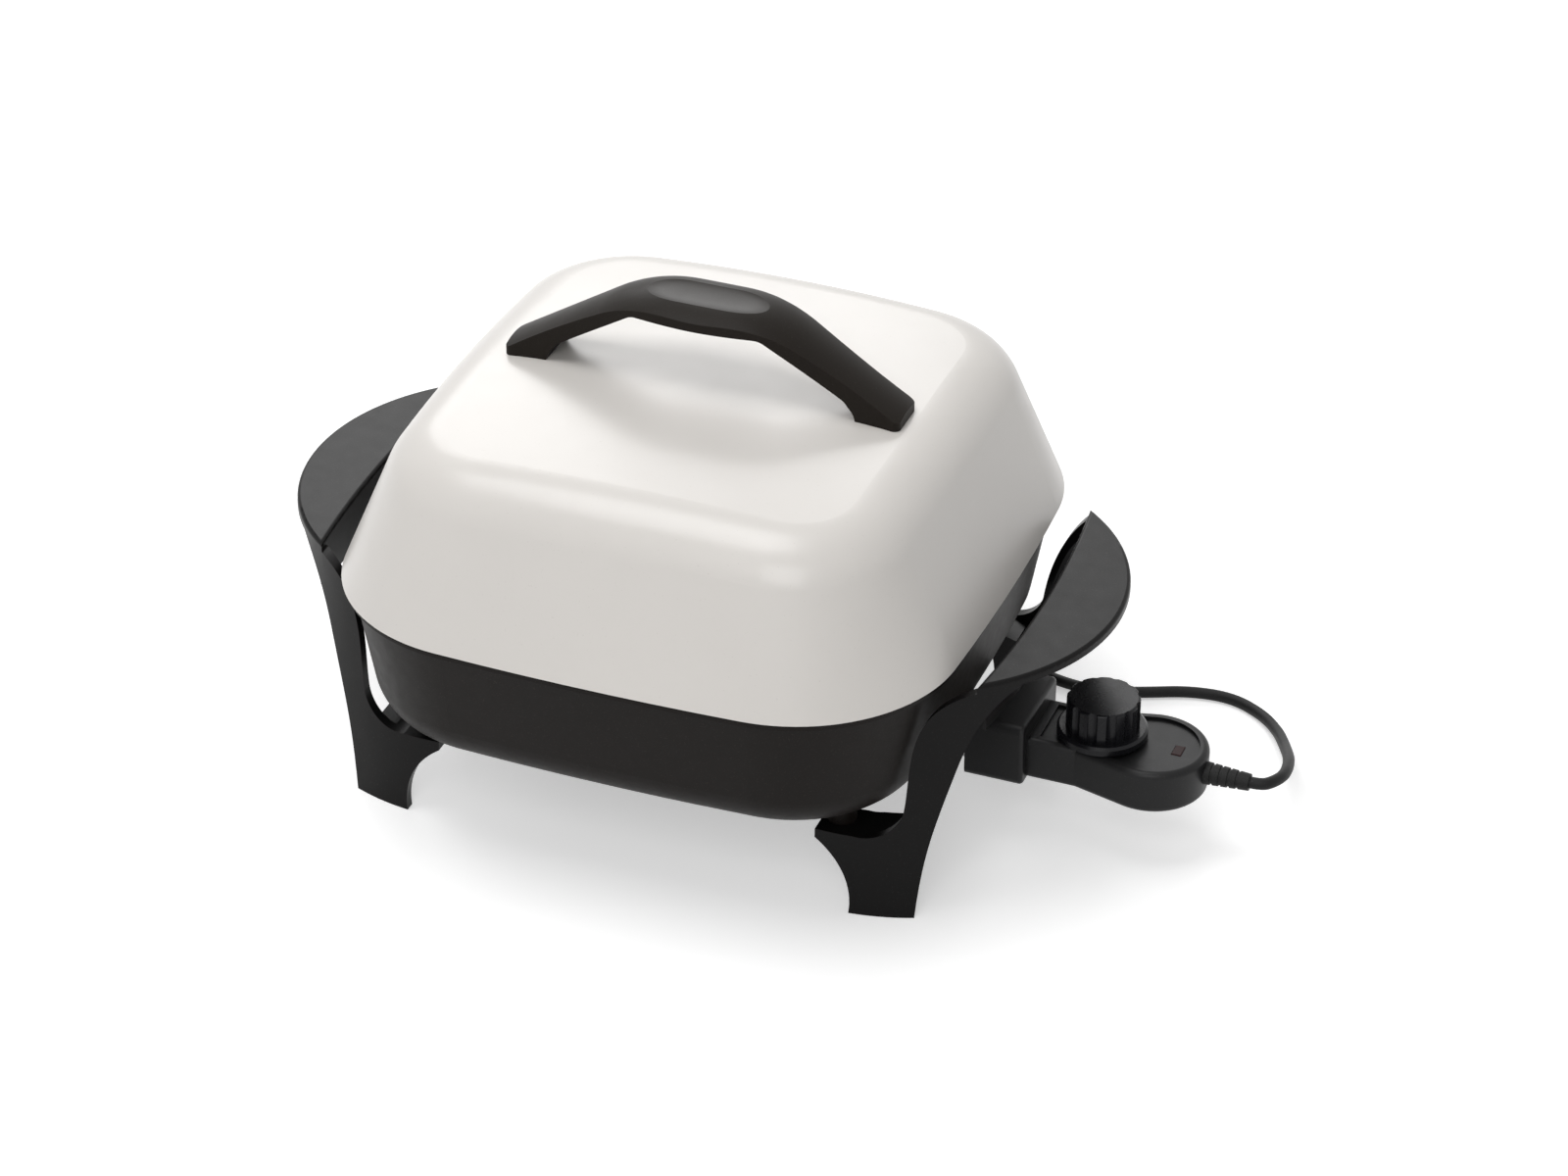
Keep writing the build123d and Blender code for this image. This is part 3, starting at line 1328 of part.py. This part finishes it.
# ================================================================ printed for the record
coil_turn = 360 * coil_turns + cord_exit_turn
coil_run = radians(coil_turn) * coil_radius
tube_run = cord_line.wire().length
print("cord radii", [round(radius, 1) for radius in cord_radii])
print("cord tube", round(tube_run, 1), "volume / section", round(cord.part.volume / (pi * cord_diameter**2 / 4), 1))
print("cord length", round(tube_run + coil_run + tail_length, 1))
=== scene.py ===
# %% [markdown]
# An electric skillet: a square pan with a deep domed lid, two dark side mouldings that are handles and
# legs at once, and a heat control that plugs into the right side. The solids are already made, each in
# its real place and in metres. They could be modelled again here, but then two models would have to
# agree, so this lesson loads them as a fixed frame and only dresses them: finishes, marks, the cord.

# %% Load the frame
from math import cos, radians, sin

import bmesh
import bpy
from mathutils import Matrix, Vector


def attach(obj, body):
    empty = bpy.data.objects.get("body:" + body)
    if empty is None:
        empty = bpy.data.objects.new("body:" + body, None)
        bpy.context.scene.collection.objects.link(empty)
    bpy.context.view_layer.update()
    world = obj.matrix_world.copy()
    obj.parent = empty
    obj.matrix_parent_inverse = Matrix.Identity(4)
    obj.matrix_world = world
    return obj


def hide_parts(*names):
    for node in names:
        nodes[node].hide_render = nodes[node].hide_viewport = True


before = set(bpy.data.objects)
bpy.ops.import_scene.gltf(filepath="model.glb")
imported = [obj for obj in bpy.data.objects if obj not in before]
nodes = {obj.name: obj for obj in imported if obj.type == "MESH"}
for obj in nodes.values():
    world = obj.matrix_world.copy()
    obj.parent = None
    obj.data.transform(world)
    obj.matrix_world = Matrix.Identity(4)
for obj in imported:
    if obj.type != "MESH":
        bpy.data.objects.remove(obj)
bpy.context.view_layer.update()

# %% [markdown]
# The camera comes first, because the length of cord that it sees decides where the rest is put away.
# A camera could be aimed with a constraint, but the three directions worked out from two angles say
# exactly what it does. It stands far off with a long lens, so the square pan hardly tapers.

# %% Camera
view_azimuth = radians(21.75)
view_elevation = radians(32.38)
view_distance = 2.2345
lens_length = 109.485
frame_shift = (0.0483, -0.0030)
aim_point = Vector((0.0, 0.0, 0.090))

view_back = Vector((
    sin(view_azimuth) * cos(view_elevation),
    -cos(view_azimuth) * cos(view_elevation),
    sin(view_elevation),
))
view_right = Vector((cos(view_azimuth), sin(view_azimuth), 0.0))
view_up = view_back.cross(view_right)

camera_data = bpy.data.cameras.new("camera")
camera_data.sensor_width = 36.0
camera_data.lens = lens_length
camera_data.shift_x, camera_data.shift_y = frame_shift
camera = bpy.data.objects.new("camera", camera_data)
camera_turn = Matrix((view_right, view_up, view_back)).transposed()
camera_place = Matrix.Translation(aim_point + view_distance * view_back)
camera.matrix_world = camera_place @ camera_turn.to_4x4()
bpy.context.scene.collection.objects.link(camera)
bpy.context.scene.camera = camera
print("camera at", [round(value, 3) for value in camera.matrix_world.translation])

# %% [markdown]
# The mains cord is a round 5.6 mm lead. It leaves the strain relief, drops to the table and runs round
# behind the pan, where the rest of it is put away in a flat coil. Bent wire made of straight runs and
# arcs would look stiff, so one smooth spline takes the route's points as its control points. The coil's
# turns are more points of the same spline: an outer turn, an inner turn, and a tail that climbs over
# them to the plug.

# %% Cord route
cord_diameter = 0.0056
cord_rest_z = 0.0029
cord_exit = (0.2660, 0.0, 0.0450)
cord_route = [
    cord_exit,
    (0.2715, 0.0000, 0.0450),
    (0.2754, 0.0042, 0.0447),
    (0.2782, 0.0130, 0.0432),
    (0.2770, 0.0255, 0.0394),
    (0.2734, 0.0420, 0.0326),
    (0.2678, 0.0606, 0.0234),
    (0.2612, 0.0804, 0.0138),
    (0.2534, 0.0996, 0.0068),
    (0.2415, 0.1156, 0.0034),
    (0.2235, 0.1254, cord_rest_z),
    (0.2025, 0.1234, cord_rest_z),
    (0.1830, 0.1145, cord_rest_z),
    (0.1640, 0.1070, cord_rest_z),
    (0.1440, 0.1075, cord_rest_z),
    (0.1250, 0.1135, cord_rest_z),
    (0.1070, 0.1240, cord_rest_z),
    (0.0915, 0.1395, cord_rest_z),
    (0.0760, 0.1570, cord_rest_z),
]

coil_centre = (0.0355, 0.1527)
coil_first_angle = 38.8
coil_steps_per_turn = 16
coil_outer_radius = 0.0349
coil_inner_radius = 0.0290
coil_inward_start = 12    # step at which the first turn moves inside the incoming lead
coil_climb_start = 28     # step at which the second turn begins to climb over the first
inward_radii = [0.0342, 0.0331, 0.0313, 0.0295]
climb_radii = [0.0287, 0.0286, 0.0287, 0.0290, 0.0296, 0.0304, 0.0318]
climb_heights = [0.0031, 0.0040, 0.0068, 0.0086, 0.0086, 0.0086, 0.0086]


def coil_point(step):
    """The control point of the coil at this step of its winding."""
    angle = radians(coil_first_angle + step * 360.0 / coil_steps_per_turn)
    radius = coil_outer_radius
    height = cord_rest_z
    if step > coil_inward_start:
        inward = step - coil_inward_start - 1
        radius = inward_radii[inward] if inward < len(inward_radii) else coil_inner_radius
    if step >= coil_climb_start:
        climb = step - coil_climb_start
        radius = climb_radii[climb]
        height = climb_heights[climb]
    return (coil_centre[0] + radius * cos(angle), coil_centre[1] + radius * sin(angle), height)


for step in range(coil_climb_start + len(climb_radii)):
    cord_route.append(coil_point(step))
tail_y = 0.1842
plug_z = 0.0084
tail_stops_x = (0.0300, 0.0200, 0.0080)
for tail_x in tail_stops_x:
    cord_route.append((tail_x, tail_y, plug_z))
print("control points of the cord", len(cord_route))

# %% Cord
cord_curve = bpy.data.curves.new("mains_cord", "CURVE")
cord_curve.dimensions = "3D"
cord_spline = cord_curve.splines.new("NURBS")
cord_spline.points.add(len(cord_route) - 1)
for point, place in zip(cord_spline.points, cord_route):
    point.co = (*place, 1.0)
    point.radius = cord_diameter / 2   # on the points, since a curve's box grows by their radius
cord_spline.order_u = 3
cord_spline.use_endpoint_u = True
cord_spline.resolution_u = 10
cord_curve.bevel_depth = 1.0           # multiplies the points' radius
cord_curve.bevel_resolution = 6
cord_curve.use_fill_caps = True
mains_cord = bpy.data.objects.new("mains_cord", cord_curve)
bpy.context.scene.collection.objects.link(mains_cord)
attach(mains_cord, "heat_control")
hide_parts("cord", "cord_coil", "cord_tail")
print("cord spline length", round(cord_spline.calc_length(), 4))

# %% [markdown]
# A plain pale floor and soft light show the shapes without telling a story. The floor is one large
# sheet. It takes the object's shadow, and a little light of its own, which only the camera and mirror
# reflections see, lifts the rest of it to white.

# %% Colours
def tone(red, green, blue):
    """A colour from its eight-bit screen values, as the linear values that shaders take."""
    linear = []
    for value in (red, green, blue):
        share = value / 255
        linear.append(share / 12.92 if share <= 0.04045 else ((share + 0.055) / 1.055) ** 2.4)
    return (*linear, 1.0)


print("mid grey is", [round(value, 3) for value in tone(128, 128, 128)])

# %% Shader values
class Varying:
    """A value that changes over a surface: one output socket, with Python's operators on it."""

    def __init__(self, finish, socket):
        self.finish = finish
        self.socket = socket

    def math(self, operation, first, second):
        return self.finish.node("ShaderNodeMath", {"operation": operation}, {0: first, 1: second})

    def __add__(self, other):
        return self.math("ADD", self, other)

    def __radd__(self, other):
        return self.math("ADD", other, self)

    def __mul__(self, other):
        return self.math("MULTIPLY", self, other)

    def __rmul__(self, other):
        return self.math("MULTIPLY", other, self)


noise_roughness = 0.55


class Finish:
    """A material while it is being built: its node tree and its surface shader."""

    def __init__(self, name, **constants):
        self.material = bpy.data.materials.new(name)
        self.material.use_nodes = True
        self.tree = self.material.node_tree
        self.shader = self.tree.nodes["Principled BSDF"]
        for socket_name, value in constants.items():
            self.shader.inputs[socket_name.replace("_", " ")].default_value = value
        self.place = self.node("ShaderNodeTexCoord", {}, {}, "Object")

    def node(self, kind, settings, sockets, output=0):
        """Adds any node: its settings are set first, then its sockets get values or links."""
        made = self.tree.nodes.new(kind)
        for setting, value in settings.items():
            setattr(made, setting, value)
        for key, value in sockets.items():
            if isinstance(value, Varying):
                self.tree.links.new(value.socket, made.inputs[key])
            else:
                made.inputs[key].default_value = value
        return Varying(self, made.outputs[output])

    def stretched(self, scale):
        """The place on the object with each axis multiplied, so a pattern on it is drawn out."""
        return self.node("ShaderNodeMapping", {}, {"Vector": self.place, "Scale": scale})

    def blotches(self, size, detail=2.0, place=None):
        """Soft noise from 0 to 1 whose blotches are about this many metres across."""
        return self.node(
            "ShaderNodeTexNoise", {},
            {
                "Vector": place or self.place,
                "Scale": 1 / size,
                "Detail": detail,
                "Roughness": noise_roughness,
            },
        )

    def ramp(self, value, low, high):
        """0 up to low, 1 from high on, and a smooth step between. With low above high it falls."""
        return self.node(
            "ShaderNodeMapRange",
            {"interpolation_type": "SMOOTHSTEP", "clamp": True},
            {"Value": value, "From Min": low, "From Max": high},
        )

    def blend(self, factor, first, second):
        """A mix of two colours. The node's colour sockets are numbers 6 and 7, its colour output 2."""
        return self.node("ShaderNodeMix", {"data_type": "RGBA"}, {0: factor, 6: first, 7: second}, 2)

    def relief(self, height, depth):
        """A bump of this depth in metres."""
        return self.node("ShaderNodeBump", {}, {"Height": height, "Distance": depth, "Strength": 1.0})

    def feed(self, **values):
        """Links varying values into the surface shader."""
        for socket_name, value in values.items():
            self.tree.links.new(value.socket, self.shader.inputs[socket_name.replace("_", " ")])


print("shader helpers ready")

# %% Floor
floor_size = 6.0
floor_glow = 0.44
floor_grey = 0.94
floor_mesh = bpy.data.meshes.new("floor")
floor_bm = bmesh.new()
bmesh.ops.create_grid(floor_bm, x_segments=1, y_segments=1, size=floor_size)
floor_bm.to_mesh(floor_mesh)
floor_bm.free()
floor = bpy.data.objects.new("floor", floor_mesh)
bpy.context.scene.collection.objects.link(floor)

floor_finish = Finish(
    "floor_white",
    Roughness=0.9,
    Specular_IOR_Level=0.0,
    Base_Color=(floor_grey, floor_grey, floor_grey, 1.0),
    Emission_Strength=1.0,
)
seen = floor_finish.node("ShaderNodeLightPath", {}, {}, "Is Camera Ray")
mirrored = floor_finish.node("ShaderNodeLightPath", {}, {}, "Is Glossy Ray")
passed = floor_finish.node("ShaderNodeLightPath", {}, {}, "Is Transmission Ray")
floor_finish.feed(Emission_Color=(seen + mirrored + passed) * floor_glow)
floor_mesh.materials.append(floor_finish.material)
print("floor", floor_size * 2, "m across")

# %% Light
world = bpy.data.worlds.new("studio")
world.use_nodes = True
bpy.context.scene.world = world
world_tree = world.node_tree
world_background = world_tree.nodes["Background"]
world_path = world_tree.nodes.new("ShaderNodeLightPath")
world_seen = world_path.outputs["Is Camera Ray"]
for ray in ("Is Glossy Ray", "Is Transmission Ray"):
    either = world_tree.nodes.new("ShaderNodeMath")
    either.operation = "MAXIMUM"
    world_tree.links.new(world_seen, either.inputs[0])
    world_tree.links.new(world_path.outputs[ray], either.inputs[1])
    world_seen = either.outputs[0]
world_fill = 0.23        # what lights the object; rays that are seen get 1
world_strength = world_tree.nodes.new("ShaderNodeMapRange")
world_strength.inputs["To Min"].default_value = world_fill
world_strength.inputs["To Max"].default_value = 1.0
world_tree.links.new(world_seen, world_strength.inputs["Value"])
world_tree.links.new(world_strength.outputs[0], world_background.inputs["Strength"])
world_background.inputs["Color"].default_value = (1.0, 1.0, 1.0, 1.0)


def soft_lamp(name, place, width, height, watts):
    """A rectangular soft box at a place, turned to the middle of the object."""
    lamp_data = bpy.data.lights.new(name, "AREA")
    lamp_data.shape = "RECTANGLE"
    lamp_data.size = width
    lamp_data.size_y = height
    lamp_data.energy = watts
    lamp = bpy.data.objects.new(name, lamp_data)
    lamp.location = place
    lamp.rotation_euler = (Vector(place) - aim_point).to_track_quat("Z", "Y").to_euler()
    bpy.context.scene.collection.objects.link(lamp)
    print(name, watts, "W at", place)


soft_lamp("overhead_lamp", (-0.5, -0.2, 2.4), 1.4, 1.4, 27.0)
soft_lamp("front_lamp", (0.45, -2.1, 1.7), 1.4, 1.4, 18.0)
soft_lamp("back_lamp", (-1.3, 2.4, 1.75), 1.8, 1.4, 26.0)

view_settings = bpy.context.scene.view_settings
view_settings.view_transform = "Standard"

# %% [markdown]
# The lid is pressed aluminium with a baked bone-coloured coat. Such a coat has a faint orange peel, and
# its sheen varies a little. Paint could be one colour with one roughness, but then it looks like paper
# in this soft light.

# %% Lid enamel
def dress(finish, *names):
    """Gives a finish to carried-over nodes."""
    for name in names:
        slots = nodes[name].material_slots
        if not slots:
            nodes[name].data.materials.append(finish.material)
        for material_slot in nodes[name].material_slots:
            material_slot.material = finish.material
    print(finish.material.name, "on", ", ".join(names))


enamel_cloud_size = 0.08
enamel_speck_size = 0.0011
enamel_speck_strength = 0.25
peel_size = 0.0026
peel_depth = 0.00001

lid_enamel = Finish("lid_enamel_coat", Coat_Weight=0.25, Coat_Roughness=0.18)
clouds = lid_enamel.blotches(enamel_cloud_size)
specks = lid_enamel.ramp(lid_enamel.blotches(enamel_speck_size, 1.0), 0.70, 0.80)
peel = lid_enamel.blotches(peel_size, 1.0)
enamel_colour = lid_enamel.blend(clouds, tone(223, 219, 214), tone(228, 224, 219))
enamel_colour = lid_enamel.blend(specks * enamel_speck_strength, enamel_colour, tone(196, 191, 184))
lid_enamel.feed(
    Base_Color=enamel_colour,
    Roughness=0.30 + 0.10 * lid_enamel.blotches(0.012),
    Normal=lid_enamel.relief(peel, peel_depth),
)
dress(lid_enamel, "lid_shell")

# %% [markdown]
# The pan is cast aluminium under a dark non-stick coat. The coat is sprayed, so it is full of fine
# grains. A grain could be modelled, but it is under a millimetre across, which is what bump is for.
# The way each grain catches the light is a painted glint: the grain's tips are painted lighter.

# %% Pan coating
coat_grain_size = 0.0007
coat_grain_depth = 0.00002
painted_coat_glint_strength = 0.5
coat_cloud_size = 0.05

pan_coating = Finish("pan_nonstick_coat", Specular_IOR_Level=0.12)
grain = pan_coating.blotches(coat_grain_size, 1.0)
# painted glint: the tips of the grain are painted lighter, as if each caught the light
painted_grain_glint = pan_coating.ramp(grain, 0.62, 0.74)
pan_clouds = pan_coating.blotches(coat_cloud_size)
coat_colour = pan_coating.blend(pan_clouds, tone(19, 16, 14), tone(25, 21, 19))
coat_colour = pan_coating.blend(painted_grain_glint * painted_coat_glint_strength, coat_colour, tone(48, 42, 38))
pan_coating.feed(
    Base_Color=coat_colour,
    Roughness=0.40 + 0.12 * pan_coating.blotches(0.006),
    Normal=pan_coating.relief(grain, coat_grain_depth),
)
dress(pan_coating, "pan")

# %% [markdown]
# The side mouldings, the lid's grip, the control and its dial are moulded plastics, all nearly black,
# yet not alike: the mouldings are satin from a blasted mould, the grip is warmer, the dial is glossier.
# One function with a few knobs makes them all, so their grain stays of one kind.

# %% Moulded plastics
mould_cloud_size = 0.03
painted_mould_glint_strength = 0.35
satin_depth = 0.000012
gloss_depth = 0.000006
rubber_depth = 0.00002
rubber_grain_size = 0.0012


def moulded(name, dark, light, roughness, grain_depth, specular, grain_size=0.0006):
    """A moulded plastic: cloudy colour, the mould's fine grain with its tips painted lighter as a
    painted glint, and a slightly uneven sheen.
    """
    finish = Finish(name, Specular_IOR_Level=specular)
    plastic_clouds = finish.blotches(mould_cloud_size, 3.0)
    plastic_grain = finish.blotches(grain_size, 1.0)
    colour = finish.blend(plastic_clouds, dark, light)
    # painted glint: the tips of the mould's grain are painted lighter, as if they caught the light
    painted_grain_glint = finish.ramp(plastic_grain, 0.64, 0.78)
    colour = finish.blend(painted_grain_glint * painted_mould_glint_strength, colour, tone(62, 60, 58))
    finish.feed(
        Base_Color=colour,
        Roughness=roughness + 0.10 * finish.blotches(0.008),
        Normal=finish.relief(plastic_grain, grain_depth),
    )
    return finish


handle_plastic = moulded(
    "handle_plastic", tone(13, 12, 12), tone(18, 17, 17), 0.28, satin_depth, specular=0.12
)
grip_plastic = moulded(
    "lid_grip_plastic", tone(30, 26, 23), tone(37, 33, 29), 0.38, satin_depth, specular=0.10
)
control_plastic = moulded(
    "control_plastic", tone(15, 15, 16), tone(21, 21, 22), 0.34, satin_depth, specular=0.25
)
dial_plastic = moulded(
    "dial_plastic", tone(18, 18, 21), tone(24, 24, 27), 0.22, gloss_depth, specular=0.2
)
cord_rubber = moulded(
    "cord_rubber", tone(20, 20, 20), tone(27, 27, 27), 0.50, rubber_depth,
    specular=0.2, grain_size=rubber_grain_size,
)
dress(handle_plastic, "right_handle_leg", "left_handle_leg")
dress(grip_plastic, "lid_handle")
dress(control_plastic, "contact_block", "control_upper_housing", "control_lower_housing")
dress(dial_plastic, "dial_knob")
dress(cord_rubber, "strain_relief", "plug_body")
cord_curve.materials.append(cord_rubber.material)

# %% [markdown]
# Thumbs polish the dish in the grip's crest. A separate piece could carry the shine, but it would need
# an edge of its own, so a thin clear coat fades in by how far a point lies from the dish's middle,
# measured in dish sizes: 1 is the rim of the oval.

# %% Polished dish
dish_half_length = 0.028
dish_half_width = 0.012
polish_weight = 0.2
polish_full = 0.75
polish_end = 1.15

in_dish_sizes = (1 / dish_half_length, 1 / dish_half_width, 0.0)
from_middle = grip_plastic.stretched(in_dish_sizes)
dish_distance = grip_plastic.node("ShaderNodeVectorMath", {"operation": "LENGTH"}, {0: from_middle}, 1)
grip_plastic.feed(Coat_Weight=polish_weight * grip_plastic.ramp(dish_distance, polish_end, polish_full))
grip_plastic.shader.inputs["Coat Roughness"].default_value = 0.22
print("polish over", 2 * dish_half_length, "by", 2 * dish_half_width, "m")

# %% [markdown]
# The metals are small: screws, pins, contacts and the heating tube. Drawn and turned metal carries fine
# lines along its length, so the noise is stretched along X, the way the pins and the tube run.

# %% Metals
drawn = (0.08, 1.0, 1.0)
even = (1.0, 1.0, 1.0)
line_width = 0.0004
line_depth = 0.000004
tarnish_size = 0.006


def metal(name, colour, shade, roughness, stretch=drawn):
    """A metal with fine drawn lines, and a cloudy tarnish between two tones."""
    finish = Finish(name, Metallic=1.0)
    lines = finish.blotches(line_width, 2.0, finish.stretched(stretch))
    tarnish = finish.blotches(tarnish_size, 3.0)
    finish.feed(
        Base_Color=finish.blend(tarnish, colour, shade),
        Roughness=roughness + 0.16 * lines,
        Normal=finish.relief(lines, line_depth),
    )
    return finish


screw_steel = metal("screw_steel_plate", tone(190, 190, 192), tone(165, 165, 168), 0.24, even)
sheet_steel = metal("sheet_steel", tone(184, 184, 184), tone(160, 159, 158), 0.30)
nickel = metal("nickel_plate", tone(220, 218, 214), tone(200, 197, 192), 0.12)
brass = metal("contact_brass", tone(214, 190, 128), tone(188, 158, 96), 0.22)
sheath = metal("element_sheath_steel", tone(120, 116, 112), tone(88, 82, 78), 0.38)
dress(screw_steel, "leg_washers", "leg_screws", "lid_handle_washers", "lid_handle_screws",
      "guard_screws", "housing_screws")
dress(sheet_steel, "terminal_guard", "switch_bracket", "sensor_rod")
dress(nickel, "terminal_pins", "sensor_tube", "contact_points", "dial_shaft")
dress(brass, "female_contacts", "fixed_leaf", "moving_leaf", "plug_blades")
dress(sheath, "heating_element")

# %% [markdown]
# Four small finishes are left: white ceramic at the pins, woven glass sleeves on the wires, the
# pilot lamp's glass and its dark red lens. The lens could let light through, but unlit it looks black.

# %% Ceramic, sleeves, lamp and lens
ceramic = Finish("white_ceramic")
ceramic.feed(
    Base_Color=ceramic.blend(ceramic.blotches(0.004), tone(236, 232, 222), tone(224, 218, 205)),
    Roughness=0.22 + 0.10 * ceramic.blotches(0.002),
    Normal=ceramic.relief(ceramic.blotches(0.0009), 0.00001),
)
dress(ceramic, "pin_insulators", "leaf_insulator")

sleeving = Finish("woven_sleeving")
threads_per_metre = 1400.0
weave_depth = 0.00008
weave = sleeving.node(
    "ShaderNodeTexChecker", {}, {"Vector": sleeving.place, "Scale": threads_per_metre}, 1
)
sleeving.feed(
    Base_Color=sleeving.blend(weave * 0.5, tone(226, 220, 204), tone(190, 182, 164)),
    Roughness=0.70 + 0.15 * sleeving.blotches(0.001),
    Normal=sleeving.relief(weave, weave_depth),
)
dress(sleeving, "lead_wires")

lamp_glass = Finish("lamp_glass", Transmission_Weight=0.9, IOR=1.45)
lamp_glass.feed(
    Base_Color=lamp_glass.blend(lamp_glass.blotches(0.002), tone(250, 226, 206), tone(240, 210, 186)),
    Roughness=0.04 + 0.06 * lamp_glass.blotches(0.001),
    Normal=lamp_glass.relief(lamp_glass.blotches(0.0015), 0.00001),
)
dress(lamp_glass, "pilot_lamp")

lens_red = Finish("pilot_lens_red", Specular_IOR_Level=0.1)
lens_red.feed(
    Base_Color=lens_red.blend(lens_red.blotches(0.002), tone(44, 12, 11), tone(32, 8, 8)),
    Roughness=0.28 + 0.08 * lens_red.blotches(0.001),
    Normal=lens_red.relief(lens_red.blotches(0.0008), 0.00001),
)
dress(lens_red, "pilot_lens")

# %% Update the scene
bpy.context.view_layer.update()
